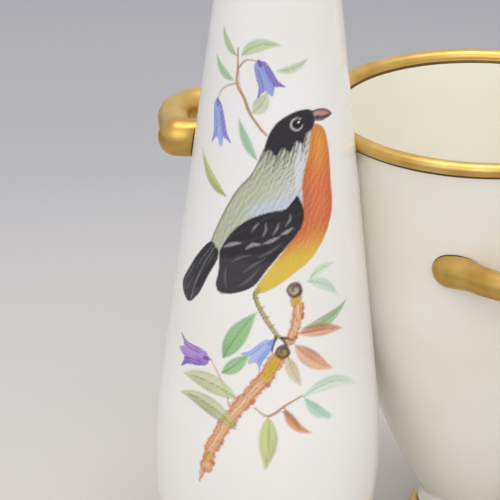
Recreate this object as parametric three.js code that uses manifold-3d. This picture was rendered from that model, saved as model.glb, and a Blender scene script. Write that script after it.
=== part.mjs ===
// A triple vase of glazed porcelain: a footed bowl stands between two tall tapering flasks.
// The three thrown vessels are luted together wall to wall and fired as one piece, with a
// round loop on the front and back of the bowl and one behind each flask.
// Millimetres, +Z up. The row runs along X and -Y is the front. The origin is under the
// middle of the bowl, on the surface that all three vessels stand on.

import * as THREE from "three";
import { mergeVertices } from "three/addons/utils/BufferGeometryUtils.js";
import Module from "manifold-3d";

const wasm = await Module();
wasm.setup();

// Both vessels
const WALL = 2.7;
const FLOOR = 4;
const FOOT_RING_WIDTH = 3.2;
const FOOT_RECESS = 1.2;
const LIP_WIDTH = 4.6;
const LIP_HEIGHT = 3.6;
const LIP_OUTSET = 1.9;
const SEAM_HEIGHT = 99;
const SEAM_DEPTH = 0.6;

// Flask: a turned bottle with a low belly, straight tapering sides and a small flared mouth
const FLASK_HEIGHT = 207;
const FLASK_BELLY_RADIUS = 29.4;
const FLASK_BELLY_HEIGHT = 32;
const FLASK_LOWER_CURVE = 130;
const FLASK_SHOULDER_CURVE = 130;
const FLASK_FOOT_CORNER = 5;
const FLASK_FLOOR_CORNER = 9;
const FLASK_NECK_RADIUS = 12.1;
const FLASK_MOUTH_RISE = 11;
const FLASK_FLARE_CURVE = 24;

// Bowl: a deep round-bottomed cup on a spreading foot
const BOWL_HEIGHT = 116.3;
const BOWL_MOUTH_RADIUS = 41.9;
const BOWL_SIDE_HEIGHT = 73.6;
const BOWL_SIDE_LEAN = 7.2;
const BOWL_CURVE = 171;
const BOWL_FLOOR_CORNER = 12;
const BOWL_FOOT_RADIUS = 16.3;
const BOWL_FOOT_HEIGHT = 7;
const BOWL_FOOT_EDGE = 1.2;

// Loops: round bars bent to level arches. At each root a stouter stub leaves the wall at the
// root angle and ends in an elbow, which stands off the wall at the elbow angle. From there the
// bar sets out at the splay, outwards from the arch's own direction. The two pulls are the
// shares of the arch's depth and half width for which it keeps its direction, at the elbow and
// at the middle. The bar thins down over a share of the half arch, the swelling. A flask's loop
// is turned about the flask, so that it stands clear of the bowl's lip.
const BOWL_LOOP = {
  level: 84.5,
  reach: 52,
  rootAngle: 40.9,
  elbowAngle: 40.9,
  standoff: -1.6,
  splay: -15,
  elbowPull: 0.37,
  middlePull: 0.84,
  diameter: 7.5,
  rootDiameter: 10.3,
  swelling: 0.3,
};
const FLASK_LOOP = {
  level: 113.5,
  turn: 5,
  reach: 38.4,
  rootAngle: 35,
  elbowAngle: 40,
  standoff: 5.4,
  splay: -32.7,
  elbowPull: 0.54,
  middlePull: 0.66,
  diameter: 8.4,
  rootDiameter: 10,
  swelling: 0.15,
};
const LOOP_SINK = 1.6;

// Facets
const FLASK_SIDES = 28;
const BOWL_SIDES = 40;
const LOOP_SIDES = 10;
const LOOP_STEPS = 12;
const LIP_FACETS = 8;

const radians = THREE.MathUtils.degToRad;

// Points of an arc in the (radius, height) plane, both ends included. Angles are in radians
// from the outward direction, positive upwards.
function arc(centreR, centreZ, radius, from, to, steps) {
  const points = [];
  for (let i = 0; i <= steps; i++) {
    const angle = from + ((to - from) * i) / steps;
    points.push(new THREE.Vector2(
      centreR + radius * Math.cos(angle),
      centreZ + radius * Math.sin(angle),
    ));
  }
  return points;
}

// The underside corner of a vessel: a corner arc that starts flat on the level `base` and
// runs tangent into the wall's lower arc, which it follows up to the angle `to`.
function lowerWall(centre, curve, base, corner, to, steps) {
  const rise = Math.asin((centre.y - base - corner) / (curve - corner));
  const cornerR = centre.x + (curve - corner) * Math.cos(rise);
  return [
    ...arc(cornerR, base + corner, corner, -Math.PI / 2, -rise, 3),
    ...arc(centre.x, centre.y, curve, -rise, to, steps).slice(1),
  ];
}

// The flask's wall line. The straight side is the crossing tangent of the shoulder's arc,
// whose centre is inside the body, and the mouth's arc, whose centre is outside the neck.
const flaskShoulder = new THREE.Vector2(FLASK_BELLY_RADIUS - FLASK_SHOULDER_CURVE, FLASK_BELLY_HEIGHT);
const flaskFlare = new THREE.Vector2(
  FLASK_NECK_RADIUS + FLASK_FLARE_CURVE,
  FLASK_HEIGHT - FLASK_MOUTH_RISE,
);
const flaskSpan = flaskFlare.clone().sub(flaskShoulder);
const flaskLean = flaskSpan.angle()
  - Math.acos((FLASK_SHOULDER_CURVE + FLASK_FLARE_CURVE) / flaskSpan.length());
const flaskLipLevel = FLASK_HEIGHT - LIP_HEIGHT / 2;

function flaskWall(inset, base, corner) {
  const lowerCentre = new THREE.Vector2(FLASK_BELLY_RADIUS - FLASK_LOWER_CURVE, FLASK_BELLY_HEIGHT);
  const flare = FLASK_FLARE_CURVE + inset;
  const flareEnd = Math.PI - Math.asin((flaskLipLevel - flaskFlare.y) / flare);
  return [
    ...lowerWall(lowerCentre, FLASK_LOWER_CURVE - inset, base, corner, 0, 3),
    ...arc(flaskShoulder.x, flaskShoulder.y, FLASK_SHOULDER_CURVE - inset, 0, flaskLean, 3).slice(1),
    ...arc(flaskFlare.x, flaskFlare.y, flare, Math.PI + flaskLean, flareEnd, 4),
  ];
}

// The bowl's wall line: a straight side that leans outwards, over one long arc.
const bowlLean = radians(BOWL_SIDE_LEAN);
const bowlLipLevel = BOWL_HEIGHT - LIP_HEIGHT / 2;
const bowlSideRadius = BOWL_MOUTH_RADIUS - (bowlLipLevel - BOWL_SIDE_HEIGHT) * Math.tan(bowlLean);
const bowlCentre = new THREE.Vector2(
  bowlSideRadius - BOWL_CURVE * Math.cos(bowlLean),
  BOWL_SIDE_HEIGHT + BOWL_CURVE * Math.sin(bowlLean),
);

function bowlMouthPoint(inset) {
  return new THREE.Vector2(BOWL_MOUTH_RADIUS - inset / Math.cos(bowlLean), bowlLipLevel);
}

// The bowl's outside, from the foot's edge up: the foot sweeps in to a waist and the body
// springs from that waist.
function bowlOutside() {
  const waistAngle = -Math.asin((bowlCentre.y - BOWL_FOOT_HEIGHT) / BOWL_CURVE);
  const waistRadius = bowlCentre.x + BOWL_CURVE * Math.cos(waistAngle);
  const sweep = arc(0, 0, 1, -Math.PI / 2, -Math.PI, 4).map((point) => new THREE.Vector2(
    BOWL_FOOT_RADIUS + (BOWL_FOOT_RADIUS - waistRadius) * point.x,
    BOWL_FOOT_HEIGHT + (BOWL_FOOT_HEIGHT - BOWL_FOOT_EDGE) * point.y,
  ));
  return [
    new THREE.Vector2(BOWL_FOOT_RADIUS, 0),
    ...sweep,
    ...arc(bowlCentre.x, bowlCentre.y, BOWL_CURVE, waistAngle, -bowlLean, 7).slice(1),
    bowlMouthPoint(0),
  ];
}

function bowlInside() {
  const base = BOWL_FOOT_HEIGHT + FLOOR;
  return [
    ...lowerWall(bowlCentre, BOWL_CURVE - WALL, base, BOWL_FLOOR_CORNER, -bowlLean, 6),
    bowlMouthPoint(WALL),
  ];
}

// The radius of a wall line at a height, between its points.
function radiusAt(line, height) {
  const above = line.findIndex((point) => point.y > height);
  const [low, high] = [line[above - 1], line[above]];
  return THREE.MathUtils.mapLinear(height, low.y, high.y, low.x, high.x);
}

// A closed mesh as a solid. Vertices in one place are merged, so that only position is left,
// and the triangles that this turns into lines, at a lathe's poles, are dropped.
function solid(geometry) {
  geometry.deleteAttribute("normal");
  geometry.deleteAttribute("uv");
  const merged = mergeVertices(geometry);
  const corners = [];
  for (let i = 0; i < merged.index.count; i += 3) {
    const [a, b, c] = merged.index.array.slice(i, i + 3);
    if (a !== b && b !== c && c !== a) corners.push(a, b, c);
  }
  return new wasm.Manifold(new wasm.Mesh({
    numProp: 3,
    vertProperties: new Float32Array(merged.attributes.position.array),
    triVerts: new Uint32Array(corners),
  }));
}

// A wall line turned about Z, closed to the axis at its first and last height.
function turned(line, sides) {
  const outline = [
    new THREE.Vector2(0, line[0].y),
    ...line,
    new THREE.Vector2(0, line[line.length - 1].y),
  ];
  return solid(new THREE.LatheGeometry(outline, sides).rotateX(Math.PI / 2));
}

// The hollow that a wall line bounds, carried straight up through the mouth.
function hollow(line, sides) {
  const mouth = line[line.length - 1];
  return turned([...line, new THREE.Vector2(mouth.x, mouth.y + LIP_HEIGHT)], sides);
}

// The rolled lip: an oval bead round the top of a wall whose outer radius there is `radius`.
function lip(radius, level, sides) {
  const bead = [];
  for (let i = 0; i <= LIP_FACETS; i++) {
    const angle = (2 * Math.PI * i) / LIP_FACETS;
    bead.push(new THREE.Vector2(
      radius + LIP_OUTSET - LIP_WIDTH / 2 + (LIP_WIDTH / 2) * Math.cos(angle),
      level + (LIP_HEIGHT / 2) * Math.sin(angle),
    ));
  }
  return solid(new THREE.LatheGeometry(bead, sides).rotateX(Math.PI / 2));
}

// The shallow hollow under a vessel, inside the ring that it stands on.
function footRecess(footRadius, sides) {
  const radius = footRadius - FOOT_RING_WIDTH;
  return turned([
    new THREE.Vector2(radius, -FOOT_RECESS),
    new THREE.Vector2(radius, 0),
    new THREE.Vector2(radius - FOOT_RECESS, FOOT_RECESS),
  ], sides);
}

// A point near a vessel's wall in a loop's level plane, at an angle from the front. Its x runs
// along the row and its y outwards.
function loopPoint(radius, angle) {
  return new THREE.Vector2(Math.sin(radians(angle)), Math.cos(radians(angle)))
    .multiplyScalar(radius);
}

// Half of a loop's centre line, from its elbow to the middle of the arch.
function halfArch(shape, elbow) {
  const pull = shape.elbowPull * (shape.reach - elbow.y);
  return new THREE.CubicBezierCurve(
    elbow,
    elbow.clone().add(loopPoint(pull, shape.splay)),
    new THREE.Vector2(shape.middlePull * elbow.x, shape.reach),
    new THREE.Vector2(0, shape.reach),
  );
}

// A loop on the front (-Y) of the wall: a straight bar along Y, bent so that its two halves
// follow the half arch and its mirror image, and joined to the wall by round-ended stubs.
function loop(shape, wallRadius) {
  const root = loopPoint(wallRadius - LOOP_SINK, shape.rootAngle);
  const elbow = loopPoint(wallRadius + shape.standoff, shape.elbowAngle);
  const half = halfArch(shape, elbow);
  const bar = new THREE.CylinderGeometry(1, 1, 2, LOOP_SIDES, LOOP_STEPS);
  const position = bar.attributes.position;
  for (let i = 0; i < position.count; i++) {
    const side = Math.sign(position.getY(i));
    const along = 1 - Math.abs(position.getY(i));
    const centre = half.getPoint(along);
    const tangent = half.getTangent(along);
    const thin = THREE.MathUtils.smoothstep(along, 0, shape.swelling);
    const radius = THREE.MathUtils.lerp(shape.rootDiameter, shape.diameter, thin) / 2;
    const offset = position.getX(i) * radius;
    position.setXYZ(
      i,
      side * (centre.x + tangent.y * offset),
      -(centre.y - tangent.x * offset),
      shape.level + position.getZ(i) * radius,
    );
  }
  const ball = solid(new THREE.SphereGeometry(shape.rootDiameter / 2, LOOP_SIDES, LOOP_SIDES / 2));
  const stubs = [-1, 1].map((side) => wasm.Manifold.hull(
    [root, elbow].map((end) => ball.translate([side * end.x, -end.y, shape.level])),
  ));
  return wasm.Manifold.union([solid(bar), ...stubs]);
}

function flaskSolid(foot, wall) {
  const mouth = wall[wall.length - 1];
  return turned(wall, FLASK_SIDES)
    .add(lip(mouth.x, mouth.y, FLASK_SIDES))
    .subtract(footRecess(foot.x, FLASK_SIDES));
}

function flaskHollow() {
  return hollow(flaskWall(WALL, FOOT_RECESS + FLOOR, FLASK_FLOOR_CORNER), FLASK_SIDES);
}

function bowlSolid(foot, wall) {
  const mouth = wall[wall.length - 1];
  return turned(wall, BOWL_SIDES)
    .add(lip(mouth.x, mouth.y, BOWL_SIDES))
    .subtract(footRecess(foot.x, BOWL_SIDES));
}

// The three vessels and their loops as one solid, with the hollows cut last so that nothing
// of a neighbour or a loop's root stands into them.
function vaseSolid() {
  const flaskOutside = flaskWall(0, 0, FLASK_FOOT_CORNER);
  const bowlLine = bowlOutside();
  const pitch = radiusAt(flaskOutside, SEAM_HEIGHT) + radiusAt(bowlLine, SEAM_HEIGHT) - SEAM_DEPTH;
  const bowlLoop = loop(BOWL_LOOP, radiusAt(bowlLine, BOWL_LOOP.level));
  const flaskLoop = loop(FLASK_LOOP, radiusAt(flaskOutside, FLASK_LOOP.level));
  const flask = flaskSolid(flaskOutside[0], flaskOutside);
  let vase = bowlSolid(bowlLine[0], bowlLine)
    .add(bowlLoop)
    .add(bowlLoop.rotate([0, 0, 180]));
  for (const side of [-1, 1]) {
    const looped = flask.add(flaskLoop.rotate([0, 0, 180 - side * FLASK_LOOP.turn]));
    vase = vase.add(looped.translate([side * pitch, 0, 0]));
  }
  vase = vase.subtract(hollow(bowlInside(), BOWL_SIDES));
  for (const side of [-1, 1]) vase = vase.subtract(flaskHollow().translate([side * pitch, 0, 0]));
  return vase;
}

// A solid as a geometry with flat facets.
function faceted(body) {
  const mesh = body.getMesh();
  const geometry = new THREE.BufferGeometry();
  geometry.setAttribute("position", new THREE.BufferAttribute(mesh.vertProperties, mesh.numProp));
  geometry.setIndex(new THREE.BufferAttribute(mesh.triVerts, 1));
  geometry.computeVertexNormals();
  return geometry;
}

const porcelain = new THREE.MeshStandardMaterial({ color: 0xe7e2d8, roughness: 0.12, metalness: 0 });

const vase = new THREE.Mesh(faceted(vaseSolid()), porcelain);
vase.name = "triple_vase";

const group = new THREE.Group();
group.add(vase);

export default group;
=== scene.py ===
"""A triple vase of glazed porcelain: a gilded, footed bowl between two tall gilded flasks,
hand-painted with a bird on a flowering branch. Metres, +Z up, the row along X, -Y the front."""

from math import cos, pi, radians, sin

import bpy
import numpy as np
from mathutils import Matrix, Vector


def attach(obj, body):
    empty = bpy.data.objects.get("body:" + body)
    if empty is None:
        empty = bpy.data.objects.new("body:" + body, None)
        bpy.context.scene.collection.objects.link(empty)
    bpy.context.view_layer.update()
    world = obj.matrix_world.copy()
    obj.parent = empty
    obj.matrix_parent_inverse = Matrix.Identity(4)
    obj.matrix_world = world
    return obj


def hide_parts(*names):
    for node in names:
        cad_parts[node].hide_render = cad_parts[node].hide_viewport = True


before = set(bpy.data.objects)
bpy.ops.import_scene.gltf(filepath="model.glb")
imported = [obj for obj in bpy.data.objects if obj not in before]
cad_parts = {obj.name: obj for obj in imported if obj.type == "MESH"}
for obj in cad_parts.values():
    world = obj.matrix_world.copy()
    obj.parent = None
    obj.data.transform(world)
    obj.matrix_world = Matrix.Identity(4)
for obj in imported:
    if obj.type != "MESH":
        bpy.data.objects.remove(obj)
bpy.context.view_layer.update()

# The camera
# It stands in front and to the left of the vase and looks down on it from a long way off. The
# picture is turned a little clockwise and cuts off the flasks' tops and the vase's right half.

VIEW_AZIMUTH = radians(-27.28)
VIEW_ELEVATION = radians(22.62)
VIEW_ROLL = radians(1.23)
VIEW_DISTANCE = 1.5
VIEW_WIDTH = 0.13
SENSOR = 36.0
VIEW_TARGET = Vector((-0.0621, 0, 0.0855))
VIEW_ASIDE = -0.00572

right = Vector((cos(VIEW_AZIMUTH), sin(VIEW_AZIMUTH), 0))
towards = Vector((sin(VIEW_AZIMUTH) * cos(VIEW_ELEVATION),
                  -cos(VIEW_AZIMUTH) * cos(VIEW_ELEVATION), sin(VIEW_ELEVATION)))
above = towards.cross(right)
camera = bpy.data.objects.new("camera", bpy.data.cameras.new("camera"))
camera.data.sensor_width = SENSOR
camera.data.lens = SENSOR * VIEW_DISTANCE / VIEW_WIDTH
camera.data.clip_start, camera.data.clip_end = 0.1, 20
axes = Matrix((right * cos(VIEW_ROLL) + above * sin(VIEW_ROLL),
               above * cos(VIEW_ROLL) - right * sin(VIEW_ROLL), towards)).transposed()
camera.matrix_world = Matrix.Translation(
    VIEW_TARGET + right * VIEW_ASIDE + towards * VIEW_DISTANCE) @ axes.to_4x4()
bpy.context.scene.collection.objects.link(camera)
bpy.context.scene.camera = camera


# The flasks
# Two bottles thrown in white porcelain, with a low belly and straight sides that taper to a
# small flared mouth. Each is a shell with a wall 2.7 mm thick and a rolled lip. Millimetres.

MM = 0.001
GLAZE, PAINTED, CREAM, GOLD, LINE = range(5)  # finishes, in the order of the materials
PITCH = 62.08
WALL = 2.7
FLOOR = 4.0
FOOT_RING_WIDTH = 3.2
FOOT_RECESS = 1.2
LIP_WIDTH = 4.6
LIP_HEIGHT = 3.6
LIP_OUTSET = 1.9
LINE_WIDTH = 0.75
FLASK_HEIGHT = 207.0
BELLY_RADIUS = 29.36
BELLY_HEIGHT = 32.0
BELLY_CURVE = 130.0
FLASK_FOOT_CORNER = 5.0
FLASK_FLOOR_CORNER = 9.0
NECK_RADIUS = 12.08
NECK_HEIGHT = 196.0
FLARE_CURVE = 24.0
FLASK_SIDES = 60
OUTSIDE_STEP = 2.5
INSIDE_STEP = 4.0
SLIP_REACH = 3.2
SLIP_FROM, SLIP_FULL = 8.0, 16.0
SLIP_FADES, SLIP_TO = 107.0, 111.0


def arc(centre_r, centre_z, radius, start, end, steps):
    """Points (radius, height) of an arc: centre + radius (cos a, sin a), a from start to end."""
    a = np.linspace(start, end, steps + 1)
    return np.stack([centre_r + radius * np.cos(a), centre_z + radius * np.sin(a)], 1)


def lower_wall(centre, curve, base, corner, end, steps):
    """A corner arc that starts flat on the level base and runs tangent into a wall's long
    arc, which it follows up to the angle end."""
    rise = np.arcsin((centre[1] - base - corner) / (curve - corner))
    corner_r = centre[0] + (curve - corner) * np.cos(rise)
    return np.concatenate([arc(corner_r, base + corner, corner, -pi / 2, -rise, 8),
                           arc(*centre, curve, -rise, end, steps)[1:]])


def flask_wall(inset, base, corner):
    """The flask's wall line: a corner, the belly's arc, a straight side and the mouth's flare.
    The side is tangent to the belly's arc, centred in the body, and to the flare's arc, centred
    outside the neck, so its lean is the span's angle less acos(sum of the radii / span)."""
    belly = np.array([BELLY_RADIUS - BELLY_CURVE, BELLY_HEIGHT])
    flare = np.array([NECK_RADIUS + FLARE_CURVE, NECK_HEIGHT])
    span = flare - belly
    lean = np.arctan2(span[1], span[0]) - np.arccos((BELLY_CURVE + FLARE_CURVE) / np.hypot(*span))
    end = pi - np.arcsin((FLASK_HEIGHT - LIP_HEIGHT / 2 - NECK_HEIGHT) / (FLARE_CURVE + inset))
    return np.concatenate([
        lower_wall(belly, BELLY_CURVE - inset, base, corner, 0, 10),
        arc(*belly, BELLY_CURVE - inset, 0, lean, 6)[1:],
        arc(*flare, FLARE_CURVE + inset, pi + lean, end, 12),
    ])


def resampled(line, step):
    """A line's points again, with none of its stretches longer than step."""
    out = [line[:1]]
    for a, b in zip(line[:-1], line[1:]):
        n = max(1, int(np.ceil(np.hypot(*(b - a)) / step)))
        out.append(a + (b - a) * (np.arange(1, n + 1) / n)[:, None])
    return np.concatenate(out)


def between(line, low, high, step):
    """The stretch of a wall line between two heights, in even steps of height."""
    z = np.linspace(low, high, 1 + max(1, int(np.ceil((high - low) / step))))
    return np.stack([np.interp(z, line[:, 1], line[:, 0]), z], 1)


def underside(foot_radius, edge):
    """The underside, from near the axis: a shallow recess inside the ring the vessel stands on."""
    r = foot_radius - FOOT_RING_WIDTH
    return np.array([[r - FOOT_RECESS - 3, FOOT_RECESS], [r - FOOT_RECESS, FOOT_RECESS],
                     [r - 0.4, 0.5], [r + 0.1, 0], [foot_radius - edge, 0]])


def lip_bead(wall_radius, level, inner_radius, steps=18):
    """The rolled lip's oval section (c + w/2 cos a, level + h/2 sin a), from where it leaves
    the outside wall, over the top, to where it meets the inside wall."""
    c = wall_radius + LIP_OUTSET - LIP_WIDTH / 2
    start = -np.arccos((wall_radius - 0.15 - c) / (LIP_WIDTH / 2))
    end = 2 * pi - np.arccos(np.clip((inner_radius + 0.1 - c) / (LIP_WIDTH / 2), -1, 1))
    return arc(0, 0, 1, start, end, steps) * [LIP_WIDTH / 2, LIP_HEIGHT / 2] + [c, level]


def circle(count):
    """Angles of an evenly divided circle, from -180 degrees."""
    return -pi + 2 * pi * np.arange(count) / count


def circle_with_fine_part(count, low, high, parts):
    """The even circle's angles, with each division between low and high parted further."""
    return np.concatenate([a + (2 * pi / count) * np.arange(parts) / parts
                           if low <= a < high else np.array([a]) for a in circle(count)])


def joined_rings(low, low_angles, high, high_angles):
    """Triangles between two rings of points. Where one ring parts the other's divisions, each
    coarse point fans out over half of the fine points of the divisions beside it."""
    upward = len(low_angles) <= len(high_angles)
    few, few_angles = (low, low_angles) if upward else (high, high_angles)
    many, many_angles = (high, high_angles) if upward else (low, low_angles)
    n, m = len(few_angles), len(many_angles)
    start = np.searchsorted(many_angles, few_angles - 1e-7)
    middle = start + (np.append(start[1:], m) - start + 1) // 2
    i, k = np.arange(m), np.arange(n)
    owner = np.searchsorted(few_angles, many_angles + 1e-7) - 1
    corner = (owner + (i >= middle[owner])) % n
    faces = np.concatenate([np.stack([few + corner, many + (i + 1) % m, many + i], 1),
                            np.stack([few + k, few + (k + 1) % n, many + middle % m], 1)])
    return faces if upward else faces[:, ::-1]


def turned(bands, axis_x):
    """A closed shell turned about an upright axis: points (axis + r sin a, -r cos a, z) for
    each band's line (r, z) and angles a. A band's finish covers it and the strip before it, and
    the first and last rings are closed by a point on the axis."""
    points, faces, finish, at, before = [], [], [], 0, None
    for line, angles, slot in bands:
        r, z = line[:, :1], line[:, 1:]
        points.append(np.stack([axis_x + r * np.sin(angles), -r * np.cos(angles),
                                z + 0 * angles], -1).reshape(-1, 3))
        m = len(angles)
        if before is not None:
            faces.append(joined_rings(*before, at, angles))
            finish.append(np.full(len(faces[-1]), slot))
        else:
            first = (at, m, line[0, 1], slot)
        for ring in range(len(line) - 1):
            faces.append(joined_rings(at + ring * m, angles, at + (ring + 1) * m, angles))
            finish.append(np.full(len(faces[-1]), slot))
        at += len(line) * m
        before = (at - m, angles)
    points.append(np.array([[axis_x, 0, first[2]], [axis_x, 0, bands[-1][0][-1, 1]]]))
    i = np.arange(first[1])
    faces.append(np.stack([np.full(len(i), at), (i + 1) % len(i), i], 1))
    finish.append(np.full(len(i), first[3]))
    i = np.arange(len(before[1]))
    faces.append(np.stack([np.full(len(i), at + 1), before[0] + i, before[0] + (i + 1) % len(i)], 1))
    finish.append(np.full(len(i), bands[-1][2]))
    return np.concatenate(points), np.concatenate(faces), np.concatenate(finish)


def with_slip(points, axis_x, neighbours):
    """Wall points moved outwards where a neighbour's wall is near, as the slip that joins the
    vessels fills the groove: k/4 (1 - gap / k)^2 along the radius, with k the slip's reach. Each
    neighbour is its axis, its wall line and this vessel's own."""
    flat = points[:, :2] - [axis_x, 0]
    distance = np.maximum(np.hypot(*flat.T), 1e-6)
    moved = points.copy()
    z = points[:, 2]
    between_ends = (np.clip((z - SLIP_FROM) / (SLIP_FULL - SLIP_FROM), 0, 1)
                    * np.clip((SLIP_TO - z) / (SLIP_TO - SLIP_FADES), 0, 1))
    for other_x, line, wall in neighbours:
        gap = np.hypot(points[:, 0] - other_x, points[:, 1]) - np.interp(z, *line.T[::-1])
        outer = distance > np.interp(z, *wall.T[::-1]) - 0.5
        near = np.clip(1 - np.abs(gap) / SLIP_REACH, 0, 1) ** 2 * SLIP_REACH / 4
        moved[:, :2] += (near * between_ends * outer)[:, None] * flat / distance[:, None]
    return moved


flask_outside = flask_wall(0, 0, FLASK_FOOT_CORNER)
flask_inside = flask_wall(WALL, FOOT_RECESS + FLOOR, FLASK_FLOOR_CORNER)
flask_lip = lip_bead(flask_outside[-1, 0], FLASK_HEIGHT - LIP_HEIGHT / 2, flask_inside[-1, 0])


def flask(axis_x, painted, parts, step):
    """One flask: a coarse foot, a front that is finely divided where its painting lies, and a
    coarse top, lip and inside. painted lists the painting's bands from the bottom up, each a
    height, the next band's height, and the angles in degrees between which it is painted."""
    coarse = circle(FLASK_SIDES)
    foot = resampled(flask_outside[flask_outside[:, 1] < painted[0][0] - 1], OUTSIDE_STEP)
    fine = [(between(flask_outside, low, high - step, step),
             circle_with_fine_part(FLASK_SIDES, radians(left), radians(right), parts), PAINTED)
            for low, high, left, right in painted]
    lip_foot, lip_end = flask_lip[0, 1], flask_lip[-1, 1]
    inside = flask_inside[flask_inside[:, 1] < lip_end - LINE_WIDTH - 0.5][::-1]
    return turned([
        (underside(flask_outside[0, 0], 0.4), coarse, GLAZE),
        (foot, coarse, GLAZE),
        *fine,
        (between(flask_outside, painted[-1][1], lip_foot - LINE_WIDTH, OUTSIDE_STEP), coarse, GLAZE),
        (between(flask_outside, lip_foot - LINE_WIDTH / 2, lip_foot - 0.02, 1), coarse, LINE),
        (flask_lip, coarse, GOLD),
        (between(flask_inside, lip_end - LINE_WIDTH, lip_end - 0.1, 1)[::-1], coarse, LINE),
        (resampled(inside, INSIDE_STEP), coarse, GLAZE),
    ], axis_x)


# The bowl
# A deep round-bottomed cup thrown in the same porcelain under a creamier glaze, with a wall
# that leans outwards, on a small spreading foot with a gilded edge.

BOWL_HEIGHT = 116.3
BOWL_MOUTH_RADIUS = 41.88
BOWL_SIDE_HEIGHT = 73.6
BOWL_SIDE_LEAN = radians(7.2)
BOWL_CURVE = 171.0
BOWL_FLOOR_CORNER = 12.0
BOWL_FOOT_RADIUS = 16.3
BOWL_FOOT_HEIGHT = 7.0
BOWL_FOOT_EDGE = 1.2
FOOT_GILDING = 2.6
BOWL_SIDES = 100
BOWL_STEP = 3.0

bowl_level = BOWL_HEIGHT - LIP_HEIGHT / 2
side_radius = BOWL_MOUTH_RADIUS - (bowl_level - BOWL_SIDE_HEIGHT) * np.tan(BOWL_SIDE_LEAN)
bowl_centre = np.array([side_radius - BOWL_CURVE * cos(BOWL_SIDE_LEAN),
                        BOWL_SIDE_HEIGHT + BOWL_CURVE * sin(BOWL_SIDE_LEAN)])
waist_angle = -np.arcsin((bowl_centre[1] - BOWL_FOOT_HEIGHT) / BOWL_CURVE)
waist_radius = bowl_centre[0] + BOWL_CURVE * np.cos(waist_angle)
foot_sweep = arc(0, 0, 1, -pi / 2, -pi, 14) * [BOWL_FOOT_RADIUS - waist_radius,
                                               BOWL_FOOT_HEIGHT - BOWL_FOOT_EDGE]
bowl_outside = np.concatenate([
    [[BOWL_FOOT_RADIUS - 0.02, 0.3], [BOWL_FOOT_RADIUS, 0.6]],
    foot_sweep + [BOWL_FOOT_RADIUS, BOWL_FOOT_HEIGHT],
    arc(*bowl_centre, BOWL_CURVE, waist_angle, -BOWL_SIDE_LEAN, 40)[1:],
    [[BOWL_MOUTH_RADIUS, bowl_level]],
])
bowl_inside = np.concatenate([
    lower_wall(bowl_centre, BOWL_CURVE - WALL, BOWL_FOOT_HEIGHT + FLOOR, BOWL_FLOOR_CORNER,
               -BOWL_SIDE_LEAN, 30),
    [[BOWL_MOUTH_RADIUS - WALL / cos(BOWL_SIDE_LEAN), bowl_level]],
])
bowl_lip = lip_bead(BOWL_MOUTH_RADIUS, bowl_level, bowl_inside[-1, 0])


def bowl():
    """The bowl, with gilding on its foot's edge and lip and a dark line beside each."""
    angles = circle(BOWL_SIDES)
    lip_foot, lip_end = bowl_lip[0, 1], bowl_lip[-1, 1]
    inside = bowl_inside[bowl_inside[:, 1] < lip_end - LINE_WIDTH - 0.5][::-1]
    return turned([
        (underside(BOWL_FOOT_RADIUS, 0.3), angles, CREAM),
        (between(bowl_outside, 0.4, 0.75, 0.5), angles, LINE),
        (between(bowl_outside, 0.9, FOOT_GILDING, 0.3), angles, GOLD),
        (between(bowl_outside, FOOT_GILDING + 0.2, FOOT_GILDING + LINE_WIDTH, 0.3), angles, LINE),
        (between(bowl_outside, FOOT_GILDING + LINE_WIDTH + 0.4, 14, 0.5), angles, CREAM),
        (between(bowl_outside, 15, lip_foot - LINE_WIDTH, BOWL_STEP), angles, CREAM),
        (between(bowl_outside, lip_foot - LINE_WIDTH / 2, lip_foot - 0.02, 1), angles, LINE),
        (bowl_lip, angles, GOLD),
        (between(bowl_inside, lip_end - LINE_WIDTH, lip_end - 0.1, 1)[::-1], angles, LINE),
        (resampled(inside, INSIDE_STEP), angles, CREAM),
    ], 0)


# The loops
# Round porcelain bars bent to level arches and luted on: two on the bowl, front and back, and
# one behind each flask, turned a little outwards so that it clears the bowl's lip. Each root is
# a stouter round-ended stub, and all of it is gilded.

BOWL_LOOP = dict(level=84.5, turn=0, reach=51.75, root_angle=40.9, elbow_angle=40.9, standoff=-1.6,
                 splay=-15, elbow_pull=0.37, middle_pull=0.84, diameter=7.5,
                 root_diameter=10.3, swelling=0.3)
FLASK_LOOP = dict(level=113.5, turn=5, reach=38.4, root_angle=35, elbow_angle=40, standoff=5.4,
                  splay=-32.7, elbow_pull=0.54, middle_pull=0.66, diameter=8.4,
                  root_diameter=10, swelling=0.15)
LOOP_SINK = 1.6
ROOT_DEPTH = 2.0
BAR_SIDES = 24
STUB_SIDES = 30
SHORTEST_STUB = 0.5
BAR_STEPS = 25


def loop_point(radius, angle):
    """A point (along the row, outwards) at an angle in degrees from the outward direction."""
    return radius * np.array([sin(radians(angle)), cos(radians(angle))])


def tube(centres, radii, sides):
    """A closed round bar along level points: centre + radius (cos v n + sin v z), where n is
    the level normal of the path, with a point closing each end."""
    along = np.gradient(centres[:, :2], axis=0)
    along /= np.hypot(*along.T)[:, None]
    normal = np.stack([along[:, 1], -along[:, 0], 0 * radii], 1)
    v = 2 * pi * np.arange(sides) / sides
    rings = (centres[:, None] + radii[:, None, None]
             * (np.cos(v)[:, None] * normal[:, None] + np.sin(v)[:, None] * [0, 0, 1]))
    n, at = len(centres), np.arange(sides)
    turn = (at + 1) % sides
    faces = [np.stack([k * sides + at, k * sides + turn, (k + 1) * sides + turn,
                       (k + 1) * sides + at], 1) for k in range(n - 1)]
    quads = np.concatenate(faces)
    end, last = n * sides, (n - 1) * sides
    caps = np.concatenate([np.stack([np.full(sides, end), turn, at], 1),
                           np.stack([np.full(sides, end + 1), last + at, last + turn], 1)])
    return (np.concatenate([rings.reshape(-1, 3), centres[:1], centres[-1:]]),
            np.concatenate([quads[:, [0, 1, 2]], quads[:, [0, 2, 3]], caps]))


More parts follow.
